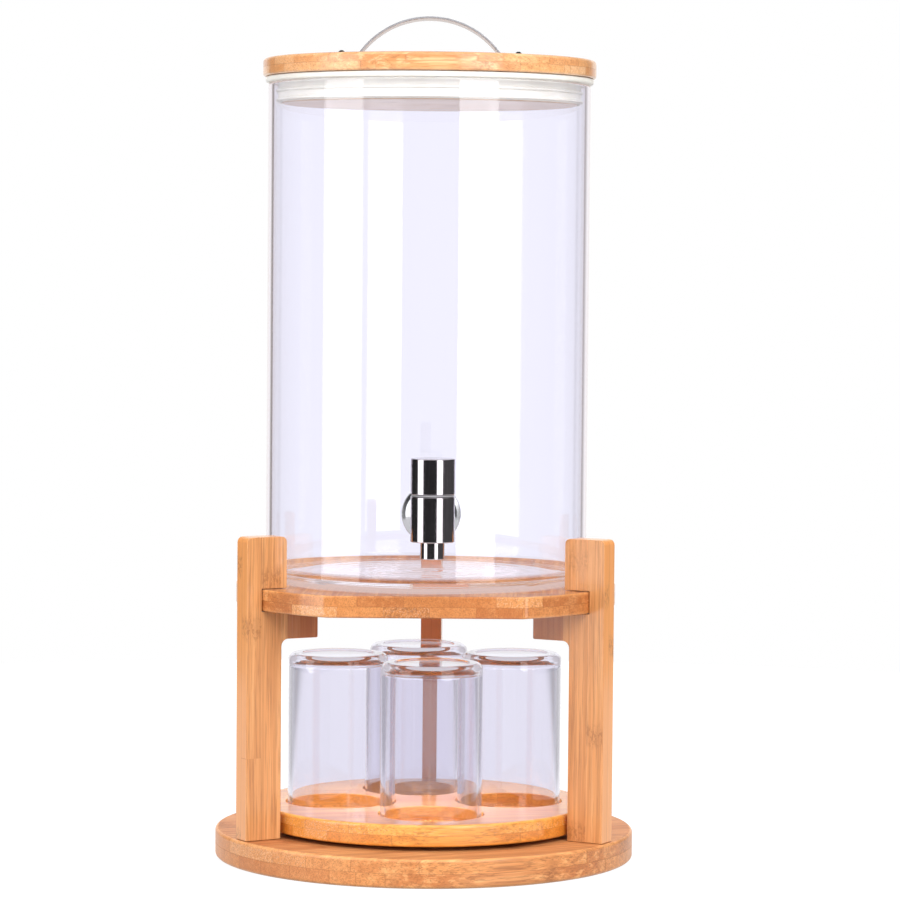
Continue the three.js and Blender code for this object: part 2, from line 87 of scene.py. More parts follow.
def rounded(corners, closed=True, steps=6):
    """The outline [(a, b, radius), ...] with each corner turned into an arc of that radius."""
    out = []
    count = len(corners)
    for i, (a, b, radius) in enumerate(corners):
        here = Vector((a, b))
        if radius <= 0 or (not closed and i in (0, count - 1)):
            out.append((a, b))
            continue
        before = Vector(corners[i - 1][:2]) - here
        after = Vector(corners[(i + 1) % count][:2]) - here
        half = before.angle(after) / 2
        reach = min(radius / math.tan(half), before.length * 0.499, after.length * 0.499)
        radius = reach * math.tan(half)
        centre = here + (before.normalized() + after.normalized()).normalized() * (radius / math.sin(half))
        start = here + before.normalized() * reach - centre
        end = here + after.normalized() * reach - centre
        sweep = start.angle_signed(end)
        for k in range(steps + 1):
            arm = start.copy()
            arm.rotate(Matrix.Rotation(-sweep * k / steps, 2))
            out.append(tuple(centre + arm))
    return out


def lathe(name, profile, segments=128, closed=False, place=None, angle=30.0):
    """A solid of revolution about +Z from (radius, height) pairs in millimetres."""
    bm = bmesh.new()
    rings = []
    for r, h in profile:
        if r < 1e-6:
            rings.append([bm.verts.new((0, 0, h * MM))])
            continue
        rings.append(
            [
                bm.verts.new((r * MM * math.cos(t), r * MM * math.sin(t), h * MM))
                for t in (2 * math.pi * k / segments for k in range(segments))
            ]
        )
    pairs = list(zip(rings, rings[1:]))
    if closed:
        pairs.append((rings[-1], rings[0]))
    for low, high in pairs:
        for k in range(segments):
            n = (k + 1) % segments
            if len(low) == 1 and len(high) == 1:
                continue
            if len(low) == 1:
                bm.faces.new((low[0], high[n], high[k]))
            elif len(high) == 1:
                bm.faces.new((low[k], low[n], high[0]))
            else:
                bm.faces.new((low[k], low[n], high[n], high[k]))
    if place is not None:
        bmesh.ops.transform(bm, matrix=place, verts=bm.verts)
    return from_bmesh(name, bm, angle)


def prism(name, outline, low, high, bevel=0.0, steps=3, place=None, angle=30.0):
    """An outline of (x, y) pairs in millimetres, pushed from z = low to z = high, with bevelled edges."""
    bm = bmesh.new()
    bottom = [bm.verts.new((x * MM, y * MM, low * MM)) for x, y in outline]
    top = [bm.verts.new((x * MM, y * MM, high * MM)) for x, y in outline]
    count = len(outline)
    rims = [bm.faces.new(list(reversed(bottom))), bm.faces.new(top)]
    for k in range(count):
        n = (k + 1) % count
        bm.faces.new((bottom[k], bottom[n], top[n], top[k]))
    if bevel > 0:
        bm.normal_update()
        edges = [e for face in rims for e in face.edges]
        bmesh.ops.bevel(
            bm, geom=edges, offset=bevel * MM, segments=steps, profile=0.5, affect="EDGES", clamp_overlap=True
        )
    if place is not None:
        bmesh.ops.transform(bm, matrix=place, verts=bm.verts)
    return from_bmesh(name, bm, angle)


def rod(radius, low, high, segments, place):
    """A plain round bar, mostly for cutting holes."""
    return lathe("rod", [(0, low), (radius, low), (radius, high), (0, high)], segments, place=place)


def bake(piece):
    """Turns the piece and its modifiers into a plain mesh."""
    bpy.context.view_layer.update()
    shape = piece.evaluated_get(bpy.context.evaluated_depsgraph_get())
    mesh = bpy.data.meshes.new_from_object(shape)
    piece.modifiers.clear()
    old = piece.data
    piece.data = mesh
    bpy.data.meshes.remove(old)
    mesh.name = piece.name


def boolean(piece, tools, operation="DIFFERENCE", angle=30.0):
    """Cuts the tools out of the piece, or joins them to it, and deletes them."""
    for tool in tools:
        cutter = piece.modifiers.new("cut", "BOOLEAN")
        cutter.operation = operation
        cutter.solver = "EXACT"
        cutter.object = tool
    bake(piece)
    for tool in tools:
        bpy.data.objects.remove(tool)
    smooth(piece.data, angle)


def turn(degrees, axis="Z"):
    return Matrix.Rotation(math.radians(degrees), 4, axis)


def shift(x, y, z):
    return Matrix.Translation((x * MM, y * MM, z * MM))


def along_tap(y, z):
    """Places a lathe's +Z along the tap's shank, pointing into the jar."""
    return turn(JAR_TURN) @ shift(0, y, z) @ turn(-90, "X")


def low_high(node):
    low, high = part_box(node)
    return low / MM, high / MM


def centre_of(node):
    low, high = low_high(node)
    return (low + high) / 2


def tap_span(node, front, back=None):
    """Where a round piece of these radii starts and ends along the shank's axis, in the jar's own turn."""
    low, high = low_high(node)
    sin, cos = math.sin(math.radians(JAR_TURN)), math.cos(math.radians(JAR_TURN))
    return (low.y + front * sin) / cos, (high.y - (back or front) * sin) / cos


def steady_normals(piece):
    """Large faces keep their own normals, so that their rounded edges don't bend the light over them."""
    weigh = piece.modifiers.new("steady", "WEIGHTED_NORMAL")
    weigh.keep_sharp = True
    weigh.weight = 60
    bake(piece)


def finish_piece(piece, body, material, slot, *nodes):
    steady_normals(piece)
    piece.data.materials.clear()
    piece.data.materials.append(material)
    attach(piece, body)
    if nodes:
        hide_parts(*nodes)
    return piece


# ------------------------------------------------------------------ material helpers
class Paint:
    """A material's node tree, built one node at a time."""

    def __init__(self, name):
        self.material = bpy.data.materials.new(name)
        self.material.use_nodes = True
        self.tree = self.material.node_tree
        self.shader = self.tree.nodes["Principled BSDF"]
        self.output = self.tree.nodes["Material Output"]

    def node(self, kind, inputs=None, **settings):
        made = self.tree.nodes.new("ShaderNode" + kind)
        for key, value in settings.items():
            setattr(made, key, value)
        for key, value in (inputs or {}).items():
            if isinstance(value, bpy.types.NodeSocket):
                self.tree.links.new(value, made.inputs[key])
            else:
                made.inputs[key].default_value = value
        return made

    def math(self, operation, *values):
        return self.node("Math", dict(enumerate(values)), operation=operation).outputs[0]

    def noise(self, vector, scale, detail=2.0, roughness=0.5):
        sockets = {"Vector": vector, "Scale": scale, "Detail": detail, "Roughness": roughness}
        return self.node("TexNoise", sockets).outputs["Fac"]

    def stretched(self, vector, x, y, z):
        return self.node("Mapping", {"Vector": vector, "Scale": (x, y, z)}).outputs[0]

    def span(self, value, low, high, to_low=0.0, to_high=1.0):
        made = self.node(
            "MapRange",
            {"Value": value, "From Min": low, "From Max": high, "To Min": to_low, "To Max": to_high},
            interpolation_type="SMOOTHSTEP",
        )
        return made.outputs["Result"]

    def mix(self, factor, one, two):
        made = self.node("Mix", data_type="RGBA", blend_type="MIX")
        for index, value in ((0, factor), (6, one), (7, two)):
            if isinstance(value, bpy.types.NodeSocket):
                self.tree.links.new(value, made.inputs[index])
            elif index == 0:
                made.inputs[0].default_value = value
            else:
                made.inputs[index].default_value = (*value, 1.0)
        return made.outputs[2]

    def ramp(self, factor, stops):
        made = self.node("ValToRGB", {"Fac": factor})
        ramp = made.color_ramp
        ramp.elements[0].position = stops[0][0]
        ramp.elements[0].color = (*stops[0][1], 1.0)
        ramp.elements[1].position = stops[-1][0]
        ramp.elements[1].color = (*stops[-1][1], 1.0)
        for position, colour in stops[1:-1]:
            ramp.elements.new(position).color = (*colour, 1.0)
        return made.outputs["Color"]

    def combine(self, x, y, z):
        return self.node("CombineXYZ", {0: x, 1: y, 2: z}).outputs[0]

    def separate(self, vector):
        return self.node("SeparateXYZ", {0: vector}).outputs

    def place(self, axes=None):
        """The object's own coordinates in millimetres, along three chosen axes."""
        spot = self.node("TexCoord").outputs["Object"]
        turned = Matrix(axes).to_euler("XYZ") if axes else (0, 0, 0)
        size = (1 / MM, 1 / MM, 1 / MM)
        return self.node("Mapping", {"Vector": spot, "Rotation": tuple(turned), "Scale": size}).outputs[0]

    def set(self, **values):
        names = {key.replace("_", " "): value for key, value in values.items()}
        for key, value in names.items():
            socket = self.shader.inputs[key]
            if isinstance(value, bpy.types.NodeSocket):
                self.tree.links.new(value, socket)
            elif isinstance(value, tuple) and len(value) == 3:
                socket.default_value = (*value, 1.0)
            else:
                socket.default_value = value

    def bump(self, height, strength, depth_mm):
        sockets = {"Height": height, "Strength": strength, "Distance": depth_mm * MM}
        return self.node("Bump", sockets).outputs[0]


def srgb(r, g, b):
    def linear(c):
        c /= 255
        return c / 12.92 if c <= 0.04045 else ((c + 0.055) / 1.055) ** 2.4

    return tuple(linear(c) for c in (r, g, b))


def grain_axes(degrees):
    """Grain along this direction in the board's plane, strips across it, layers up."""
    angle = math.radians(degrees)
    return ((math.cos(angle), math.sin(angle), 0), (-math.sin(angle), math.cos(angle), 0), (0, 0, 1))


def leg_axes(degrees):
    """Grain upright, strips across the leg's broad face, layers through its thickness."""
    angle = math.radians(degrees)
    return ((0, 0, 1), (math.cos(angle), math.sin(angle), 0), (-math.sin(angle), math.cos(angle), 0))


BAMBOO_TONES = [srgb(184, 106, 52), srgb(214, 138, 74), srgb(230, 158, 92), srgb(240, 176, 112)]
LEG_TONES = [srgb(232, 154, 86), srgb(242, 170, 102), srgb(248, 180, 112), srgb(252, 190, 126)]


def bamboo(
    name, axes, strip, length, layer, layer_from, seed, tones,
    depth=1.0, worn=None, culm=215.0, coat=0.75, side=0.0, inner=None,
):
    """Laminated bamboo: strips of many tones in layers, fibres, knots, glue lines and a clear coat, with
    optional painted shade (side, inner) on chosen faces.
    """
    p = Paint(name)
    at = p.place(axes)
    u, v, w = p.separate(at)
    level = p.math("FLOOR", p.math("DIVIDE", p.math("SUBTRACT", w, layer_from), layer))
    across = p.math("ADD", p.math("DIVIDE", v, strip), p.math("MULTIPLY_ADD", level, 0.43, seed * 0.317))
    row = p.math("FLOOR", across)
    offset = p.node("TexWhiteNoise", {"Vector": p.combine(row, level, seed)}, noise_dimensions="3D")
    along = p.math("ADD", p.math("DIVIDE", u, length), p.math("MULTIPLY", offset.outputs["Value"], 7.0))
    cell = p.combine(row, p.math("FLOOR", along), p.math("MULTIPLY_ADD", level, 3.7, seed))
    chance = p.node("TexWhiteNoise", {"Vector": cell}, noise_dimensions="3D")
    tone = chance.outputs["Value"]
    shade = p.ramp(tone, [(i / (len(tones) - 1), colour) for i, colour in enumerate(tones)])

    # How squarely the surface cuts the fibres: 1 on end grain, 0 along the grain.
    normal = p.node("TexCoord").outputs["Normal"]
    facing = p.node("VectorMath", {0: normal, 1: axes[0]}, operation="DOT_PRODUCT")
    end = p.span(p.math("ABSOLUTE", facing.outputs["Value"]), 0.35, 0.9)

    # Fibres run the strip's whole length and show as dots on end grain.
    shove = p.node(
        "VectorMath", {0: chance.outputs["Color"], 1: (31.0, 31.0, 31.0)}, operation="MULTIPLY"
    ).outputs[0]
    sway = p.math("MULTIPLY", p.math("SUBTRACT", p.noise(at, 0.012, 1.0), 0.5), 2.4)
    run = p.combine(p.math("MULTIPLY", u, 0.022), p.math("ADD", v, sway), w)
    thread = p.node("VectorMath", {0: run, 1: shove}, operation="ADD").outputs[0]
    fine = p.noise(thread, 1.3, 3.0, 0.65)
    band = p.noise(thread, 0.42, 2.0, 0.55)
    broad = p.noise(thread, 0.13, 1.0, 0.5)
    slow = p.noise(at, 0.02, 2.0, 0.5)
    bundle = p.node("TexVoronoi", {"Vector": thread, "Scale": 1.15, "Randomness": 0.85})
    dots = p.span(bundle.outputs["Distance"], 0.16, 0.42, 1.0, 0.0)
    along_grain = p.math("MULTIPLY_ADD", end, -0.6, 1.0)
    pale_dots = p.math("MULTIPLY", dots, p.span(p.separate(chance.outputs["Color"])[0], 0.52, 0.6))
    dark_dots = p.math("SUBTRACT", dots, pale_dots)

    # Knots: once in every culm length, at its own place in each strip.
    reach = p.math("ADD", p.math("DIVIDE", u, culm), p.math("MULTIPLY", tone, 5.0))
    wobble = p.math("MULTIPLY", p.math("SUBTRACT", p.noise(thread, 0.35, 1.0), 0.5), 9.0 / culm)
    near = p.math("ABSOLUTE", p.math("SUBTRACT", p.math("FRACT", p.math("ADD", reach, wobble)), 0.5))
    knot = p.span(near, 1.5 / culm, 9.0 / culm, 1.0, 0.0)
    fleck = p.stretched(at, 0.55, 1.0, 1.0)
    knot_dots = p.math("MULTIPLY", knot, p.span(p.noise(fleck, 0.75, 2.0, 0.6), 0.47, 0.58))

    # Glue lines between strips, ends and layers.
    def line(value, size):
        part = p.math("FRACT", value)
        edge = p.math("MINIMUM", part, p.math("SUBTRACT", 1.0, part))
        return p.span(edge, 0.0, size, 1.0, 0.0)

    seams = p.math("MAXIMUM", line(across, 0.32 / strip), line(along, 0.32 / length))
    layers = line(p.math("DIVIDE", p.math("SUBTRACT", w, layer_from), layer), 0.3 / layer)
    glue = p.math("MAXIMUM", seams, layers)

    dim = tuple(c * 0.5 for c in tones[0])
    glow = tones[-1]
    colour = p.mix(p.span(slow, 0.3, 0.7, 0.0, 0.35 * depth), shade, tones[0])
    middle = tuple((a + b) / 2 for a, b in zip(dim, tones[0]))
    colour = p.mix(p.math("MULTIPLY", along_grain, p.span(broad, 0.45, 0.7, 0.0, 0.4)), colour, glow)
    shadow = p.span(band, 0.36, 0.52, 0.5 * depth, 0.0)
    colour = p.mix(p.math("MULTIPLY", along_grain, shadow), colour, middle)
    colour = p.mix(p.math("MULTIPLY", along_grain, p.span(band, 0.53, 0.68, 0.0, 0.55)), colour, glow)
    colour = p.mix(p.span(fine, 0.38, 0.5, 0.5 * depth, 0.0), colour, dim)
    # Painted shade: faces square to axes[1], the legs' narrow faces, are darkened towards the darkest tone.
    if side:
        across_face = p.node("VectorMath", {0: normal, 1: axes[1]}, operation="DOT_PRODUCT").outputs["Value"]
        colour = p.mix(p.span(p.math("ABSOLUTE", across_face), 0.5, 0.9, 0.0, side), colour, tones[0])
    if inner:
        # Painted shade: the bracket under the support board, and the face towards the axis, are darkened
        # towards a dark brown.
        painted_bracket_shade = p.span(across_face, -0.9, -0.5, 1.0, 0.0)
        painted_bracket_shade = p.math("MAXIMUM", painted_bracket_shade, p.span(v, inner - 0.4, inner, 1.0, 0.0))
        colour = p.mix(p.math("MULTIPLY", painted_bracket_shade, 0.6), colour, srgb(168, 84, 44))
    colour = p.mix(p.math("MULTIPLY", end, 0.22), colour, tones[0])
    spots = p.math("MULTIPLY_ADD", end, 0.24, 0.08)
    colour = p.mix(p.math("MULTIPLY", dark_dots, spots), colour, dim)
    colour = p.mix(p.math("MULTIPLY", pale_dots, p.math("MULTIPLY", spots, 1.3)), colour, srgb(255, 222, 196))
    colour = p.mix(p.math("MULTIPLY_ADD", knot, 0.16, p.math("MULTIPLY", knot_dots, 0.5)), colour, dim)
    colour = p.mix(p.math("MULTIPLY", glue, 0.3), colour, srgb(112, 56, 28))
    rough = p.math("ADD", p.span(fine, 0.3, 0.7, 0.36, 0.5), p.math("MULTIPLY", glue, 0.2))
    if worn:
        rim = worn(p)
        colour = p.mix(p.math("MULTIPLY", rim, 0.35), colour, glow)
        rough = p.math("SUBTRACT", rough, p.math("MULTIPLY", rim, 0.1))
    height = p.math("ADD", p.math("MULTIPLY", fine, 0.6), p.math("MULTIPLY", dots, -0.5))
    height = p.math("SUBTRACT", height, p.math("MULTIPLY", glue, 0.8))
    p.set(
        Base_Color=colour,
        Roughness=rough,
        IOR=1.5,
        Specular_IOR_Level=0.5,
        Coat_Weight=coat,
        Coat_Roughness=0.14,
        Normal=p.bump(height, 0.35, 0.12),
    )
    return p.material


def round_board_wear(radius, low, high, size=2.2):
    """Wear where a round board's side meets its faces."""

    def build(p):
        x, y, z = p.separate(p.place())
        r = p.math("SQRT", p.math("ADD", p.math("MULTIPLY", x, x), p.math("MULTIPLY", y, y)))
        out = p.span(r, radius - size, radius - 0.3)
        middle, half = (low + high) / 2, (high - low) / 2
        face = p.span(p.math("ABSOLUTE", p.math("SUBTRACT", z, middle)), half - size, half - 0.2)
        patch = p.span(p.noise(p.place(), 0.09, 3.0), 0.35, 0.6, 0.35, 1.0)
        return p.math("MULTIPLY", p.math("MULTIPLY", out, face), patch)

    return build


def clear_glass(name, tint, smudge, wave, painted_glow_colour):
    """Colourless glass with a faint cast, wipe marks and a little unevenness from blowing."""
    p = Paint(name)
    at = p.place()
    haze = p.span(p.noise(at, 0.035, 4.0, 0.6), 0.5, 0.85, 0.0, smudge)
    wipe = p.span(p.noise(p.stretched(at, 1.0, 1.0, 0.3), 0.5, 3.0), 0.6, 0.8)
    ripple = p.noise(p.stretched(at, 1.0, 1.0, 0.25), 0.03, 1.0)
    p.set(
        Base_Color=tint,
        Roughness=p.math("MULTIPLY_ADD", wipe, smudge * 0.4, haze),
        IOR=1.47,
        Transmission_Weight=1.0,
        Normal=p.bump(ripple, wave, 0.4),
    )
    # Light reaches what stands behind and under the glass.
    paths = p.node("LightPath").outputs
    open_rays = p.math("MAXIMUM", paths["Is Shadow Ray"], paths["Is Diffuse Ray"])
    clear = p.node("BsdfTransparent", {"Color": (*(0.5 + c / 2 for c in tint), 1.0)})
    both = p.node("MixShader", {0: open_rays, 1: p.shader.outputs[0], 2: clear.outputs[0]})
    # Painted glow: rays that have bounced many times inside the thick corners return a soft even emission of
    # this colour instead of the light they would carry.
    painted_glow_mask = p.math(
        "MAXIMUM",
        p.math("GREATER_THAN", paths["Glossy Depth"], 2.5),
        p.math("GREATER_THAN", paths["Ray Depth"], 8.5),
    )
    glow = p.node("Emission", {"Color": (*painted_glow_colour, 1.0), "Strength": 1.0})
    whole = p.node("MixShader", {0: painted_glow_mask, 1: both.outputs[0], 2: glow.outputs[0]})
    p.tree.links.new(whole.outputs[0], p.output.inputs["Surface"])
    return p.material


def brushed(name, colour, axis, low=0.16, high=0.3, stretch=60.0, scale=1.6, metallic=1.0):
    """Steel with fine scratches running round or along the given axis."""
    p = Paint(name)
    at = p.place()
    squash = {"x": (1 / stretch, 1, 1), "y": (1, 1 / stretch, 1), "z": (1, 1, 1 / stretch)}[axis]
    lines = p.noise(p.stretched(at, *squash), scale, 4.0, 0.7)
    cloud = p.noise(at, 0.12, 3.0, 0.5)
    tint = p.mix(p.span(cloud, 0.3, 0.7, 0.0, 0.35), colour, tuple(c * 0.86 for c in colour))
    tint = p.mix(p.span(lines, 0.35, 0.65, 0.18, 0.0), tint, tuple(c * 0.6 for c in colour))
    p.set(
        Base_Color=tint,
        Metallic=metallic,
        Roughness=p.span(lines, 0.25, 0.75, low, high),
        Normal=p.bump(lines, 0.12, 0.02),
    )
    return p.material


def plated(name, colour, roughness=0.34):
    p = Paint(name)
    at = p.place()
    cloud = p.noise(at, 0.5, 4.0, 0.6)
    fleck = p.noise(at, 4.0, 2.0, 0.6)
    p.set(
        Base_Color=p.mix(p.span(cloud, 0.35, 0.7, 0.0, 0.5), colour, tuple(c * 0.7 for c in colour)),
        Metallic=1.0,
        Roughness=p.span(fleck, 0.3, 0.7, roughness - 0.08, roughness + 0.12),
        Normal=p.bump(fleck, 0.1, 0.02),
    )
    return p.material


def soft_rubber(name, colour, dark, roughness, through=0.0):
    p = Paint(name)
    at = p.place()
    cloud = p.noise(at, 0.05, 3.0, 0.55)
    speck = p.noise(at, 2.2, 2.0, 0.6)
    p.set(
        Base_Color=p.mix(p.span(cloud, 0.35, 0.7, 0.0, 0.6), colour, dark),
        Roughness=p.span(speck, 0.3, 0.7, roughness - 0.06, roughness + 0.08),
        Subsurface_Weight=through,
        Subsurface_Scale=0.004,
        Normal=p.bump(speck, 0.12, 0.03),
    )
    p.shader.inputs["Subsurface Radius"].default_value = (1.0, 0.9, 0.8)
    return p.material


def blackened(name):
    p = Paint(name)
    at = p.place()
    speck = p.noise(at, 3.0, 3.0, 0.6)
    rub = p.span(p.noise(at, 0.9, 3.0, 0.6), 0.55, 0.75)
    p.set(
        Base_Color=p.mix(p.math("MULTIPLY", rub, 0.35), srgb(24, 23, 24), srgb(70, 68, 68)),
        Metallic=0.7,
        Roughness=p.span(speck, 0.3, 0.7, 0.28, 0.44),
        Normal=p.bump(speck, 0.15, 0.03),
    )
    return p.material


# ------------------------------------------------------------------ sizes in millimetres
# A plain number here is one the CAD's source uses, where no node's box gives it.
base_low, base_high = low_high("base_board")
board_low, board_high = low_high("support_board")
tray_low, tray_high = low_high("tray_board")
jar_low, jar_high = low_high("glass_jar")
lid_low, lid_high = low_high("lid_board")
plug_low, plug_high = low_high("lid_plug")
seal_low, seal_high = low_high("lid_seal")
strap_low, strap_high = low_high("lid_handle")
knob_low, knob_high = low_high("tap_knob")
stem_low, stem_high = low_high("tap_valve_stem")
washer_low, washer_high = low_high("tap_body_washer")
body_low, body_high = low_high("tap_body")
nozzle_low, nozzle_high = low_high("tap_nozzle")
flange_low, flange_high = low_high("tap_escutcheon")

tap_at = centre_of("tap_knob")
tap_y = -math.hypot(tap_at.x, tap_at.y)
shank_z = centre_of("tap_shank").z
JAR_TURN = math.degrees(math.atan2(tap_at.x, -tap_at.y))
TRAY_TURN = math.degrees(math.atan2(centre_of("cup_right").y, centre_of("cup_right").x))
POCKET_RING = math.hypot(*centre_of("cup_right").xy)

BASE_R = (base_high.x - base_low.x) / 2
BOARD_R = board_high.y
TRAY_R = 92.0
JAR_R = (jar_high.x - jar_low.x) / 2 / math.cos(math.radians(JAR_TURN))
JAR_WALL = 3.0
JAR_FLOOR = 5.5
LID_R = (lid_high.x - lid_low.x) / 2
LEG_OUTER = 116.0
CUP_R = 28.0
POCKET_R = 29.0
CUP_WALL = 2.3
CUP_FLOOR = 3.0
LEG_INNER = 94.5
PRONG_INNER = 91.5
BRACKET_TIP = 72.0
BRACKET_TALL = 15.8
LEG_HALF = 6.0
RECESS_INNER, RECESS_OUTER, RECESS_FLOOR = 38.0, 62.0, 9.0  # the bearing's seat in the base
RING_INNER, RING_OUTER, BALL_RING = 39.0, 61.0, 50.0
ACCESS_RING, ACCESS_ANGLE = 57.3, 60.0  # the hole for reaching the upper ring's screws
GAP = 0.3
WALL_HOLE = 8.3  # through the jar's wall
SHANK_R = 7.8
SHANK_HOLE = 8.1
TAP_BORE = 4.0
SPIGOT_R = 5.0  # the nozzle's upper end, inside the body
NECK_R = 9.0
STRAP_THICK = 1.2
LEG_ANGLES = {
    side: math.degrees(math.atan2(spot.y, spot.x)) % 360
    for side, spot in ((side, centre_of(f"leg_screw_{side}_outer")) for side in ("left", "right", "back"))
}

# ------------------------------------------------------------------ materials
BASE_TONES = [srgb(198, 120, 66), srgb(224, 150, 88), srgb(238, 168, 102), srgb(246, 184, 122)]
base_bamboo = bamboo(
    "bamboo_base", grain_axes(24), 21.0, 330.0, 8.0, 0.0, 2.0, BASE_TONES,
    worn=round_board_wear(BASE_R, base_low.z, base_high.z), coat=0.12,
)
board_bamboo = bamboo(
    "bamboo_support", grain_axes(88), 25.0, 400.0, 6.0, board_low.z, 7.0, BAMBOO_TONES,
    worn=round_board_wear(BOARD_R, board_low.z, board_high.z),
)
TRAY_TONES = [srgb(208, 122, 34), srgb(220, 138, 46), srgb(230, 154, 60), srgb(238, 168, 76)]
tray_bamboo = bamboo(
    "bamboo_tray", grain_axes(12), 22.0, 360.0, 6.0, tray_low.z, 9.0, TRAY_TONES,
    worn=round_board_wear(TRAY_R, tray_low.z, tray_high.z), coat=1.0,
)
LID_TONES = [srgb(216, 144, 88), srgb(236, 174, 114), srgb(244, 190, 134), srgb(248, 202, 152)]
lid_bamboo = bamboo(
    "bamboo_lid", grain_axes(4), 20.0, 300.0, 5.0, lid_low.z, 13.0, LID_TONES,
    worn=round_board_wear(LID_R, lid_low.z, lid_high.z),
)
PLUG_TONES = [srgb(234, 200, 170), srgb(242, 212, 184), srgb(247, 220, 196), srgb(251, 228, 208)]
plug_bamboo = bamboo("bamboo_plug", grain_axes(4), 20.0, 300.0, 8.0, plug_low.z, 17.0, PLUG_TONES, coat=0.55)
leg_bamboos = {
    side: bamboo(
        "bamboo_leg_" + side, leg_axes(angle), 12.0, 900.0, 6.0, -6.0, 21.0 + 3 * i, LEG_TONES,
        # side=0.8 paints shade on the narrow faces; inner paints shade on the bracket and on the face towards
        # the axis.
        depth=1.1, culm=150.0, side=0.8, inner=91.2,
    )
    for i, (side, angle) in enumerate(LEG_ANGLES.items())
}
# The last colour of each glass is the painted glow of its deep rays.
jar_glass = clear_glass("jar_glass", (0.97, 0.967, 0.99), 0.012, 0.06, srgb(222, 196, 190))
cup_glass = clear_glass("cup_glass", (0.915, 0.907, 0.945), 0.015, 0.05, srgb(214, 208, 216))
tap_steel = brushed("tap_steel", srgb(190, 183, 189), "z", 0.08, 0.17)
strap_steel = brushed(
    "strap_steel", srgb(210, 213, 221), "x", 0.2, 0.27, stretch=12.0, scale=0.5, metallic=0.6
)
turned_steel = brushed("turned_steel", srgb(190, 190, 194), "z", 0.12, 0.2, stretch=1.0, scale=2.5)
zinc = plated("zinc_plate", srgb(176, 180, 186))
brass = plated("turned_brass", srgb(196, 160, 92), 0.3)
silicone = soft_rubber("white_silicone", srgb(236, 233, 226), srgb(224, 219, 210), 0.42, 0.35)
grey_silicone = soft_rubber("grey_silicone", srgb(150, 148, 152), srgb(132, 130, 134), 0.4)
nitrile = soft_rubber("nitrile", srgb(32, 32, 34), srgb(22, 22, 23), 0.6)
black_steel = blackened("blackened_steel")

# ------------------------------------------------------------------ stand
def countersunk_hole(head, neck, depth, spot, grow=GAP):
    head, neck = head + grow, neck + grow
    profile = [(0, -4), (head, -4), (head, 0.5), (neck, 3.0), (neck, depth), (0, depth)]
    return lathe("hole", profile, 32, place=shift(*spot))


def nodes_named(start):
    return [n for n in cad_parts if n.startswith(start)]


BASE_EDGE = 2.0
base = lathe(
    "base_board_fine",
    rounded(
        [
            (0, 0, 0),
            (BASE_R, 0, BASE_EDGE),
            (BASE_R, base_high.z, BASE_EDGE),
            (RECESS_OUTER, base_high.z, 0.5),
            (RECESS_OUTER, RECESS_FLOOR, 0.5),
            (RECESS_INNER, RECESS_FLOOR, 0.5),
            (RECESS_INNER, base_high.z, 0.5),
            (0, base_high.z, 0),
        ],
        closed=False,
    ),
    192,
)
holes = []
for n in nodes_named("leg_screw"):
    c = centre_of(n)
    holes.append(countersunk_hole(4.0, 1.9, 30.0, (c.x, c.y, low_high(n)[0].z)))
spot = turn(ACCESS_ANGLE) @ Vector((ACCESS_RING, 0, 0))
holes.append(rod(5, -2, 12, 32, shift(*spot)))
boolean(base, holes)
finish_piece(base, "stand", base_bamboo, "bamboo", "base_board")


def leg_outline():
    """The leg's side in its radial plane: (distance from the axis, height, corner radius)."""
    low, high = low_high("leg_back")
    under = board_low.z - BRACKET_TALL
    slot_low = board_low.z - GAP
    slot_high = board_high.z + GAP
    slot_end = BOARD_R + GAP
    return [
        (LEG_OUTER, low.z, 0.4),
        (LEG_OUTER, high.z, 3.2),
        (PRONG_INNER, high.z, 3.0),
        (PRONG_INNER, slot_high, 0.6),
        (slot_end, slot_high, 0.3),
        (slot_end, slot_low, 0.3),
        (BRACKET_TIP, slot_low, 0.3),
        (BRACKET_TIP, under, 0.8),
        (LEG_INNER, under, 4.0),
        (LEG_INNER, low.z, 0.4),
    ]


for side, angle in LEG_ANGLES.items():
    upright = turn(angle) @ turn(90, "X")  # the outline's height becomes +Z
    outline = rounded(leg_outline(), steps=5)
    leg = prism(f"leg_{side}_fine", outline, -LEG_HALF, LEG_HALF, 1.1, 4, place=upright, angle=40)
    finish_piece(leg, "stand", leg_bamboos[side], "bamboo", "leg_" + side)

flat = -board_low.y
meet = math.asin(flat / BOARD_R)
arc = [
    (BOARD_R * math.cos(t), BOARD_R * math.sin(t))
    for t in (-meet + (math.pi + 2 * meet) * k / 160 for k in range(161))
]
support = prism("support_board_fine", arc, board_low.z, board_high.z, 1.1, 4, angle=40)
finish_piece(support, "stand", board_bamboo, "bamboo", "support_board")


def wood_screw(node, head, head_high, shank, length, body, down=False):
    """A countersunk wood screw with a cross recess, standing where the CAD's plain one is."""
    low, high = low_high(node)
    spot = centre_of(node)
    profile = [(0, 0), (head - 0.3, 0), (head, 0.25), (head, 0.5), (shank, head_high)]
    pitch = 1.6 * shank / 1.9
    root = shank * 0.78
    z = head_high + 2.0
    while z < length - shank * 1.6:
        profile += [(root, z), (shank, z + pitch * 0.5)]
        z += pitch
    profile += [(root, length - shank * 1.5), (0, length)]
    flip = turn(180, "X") if down else Matrix()
    place = shift(spot.x, spot.y, high.z if down else low.z) @ flip
    piece = lathe(node + "_fine", profile, 32, place=place, angle=35)
    wide = head * 0.52
    bar = [(-wide, -0.38), (wide, -0.38), (wide, 0.38), (-wide, 0.38)]
    cross = [prism("cross", bar, -1.0, 1.3, place=place @ turn(quarter + 20)) for quarter in (0, 90)]
    boolean(piece, cross, angle=35)
    finish_piece(piece, body, zinc, "zinc_steel", node)


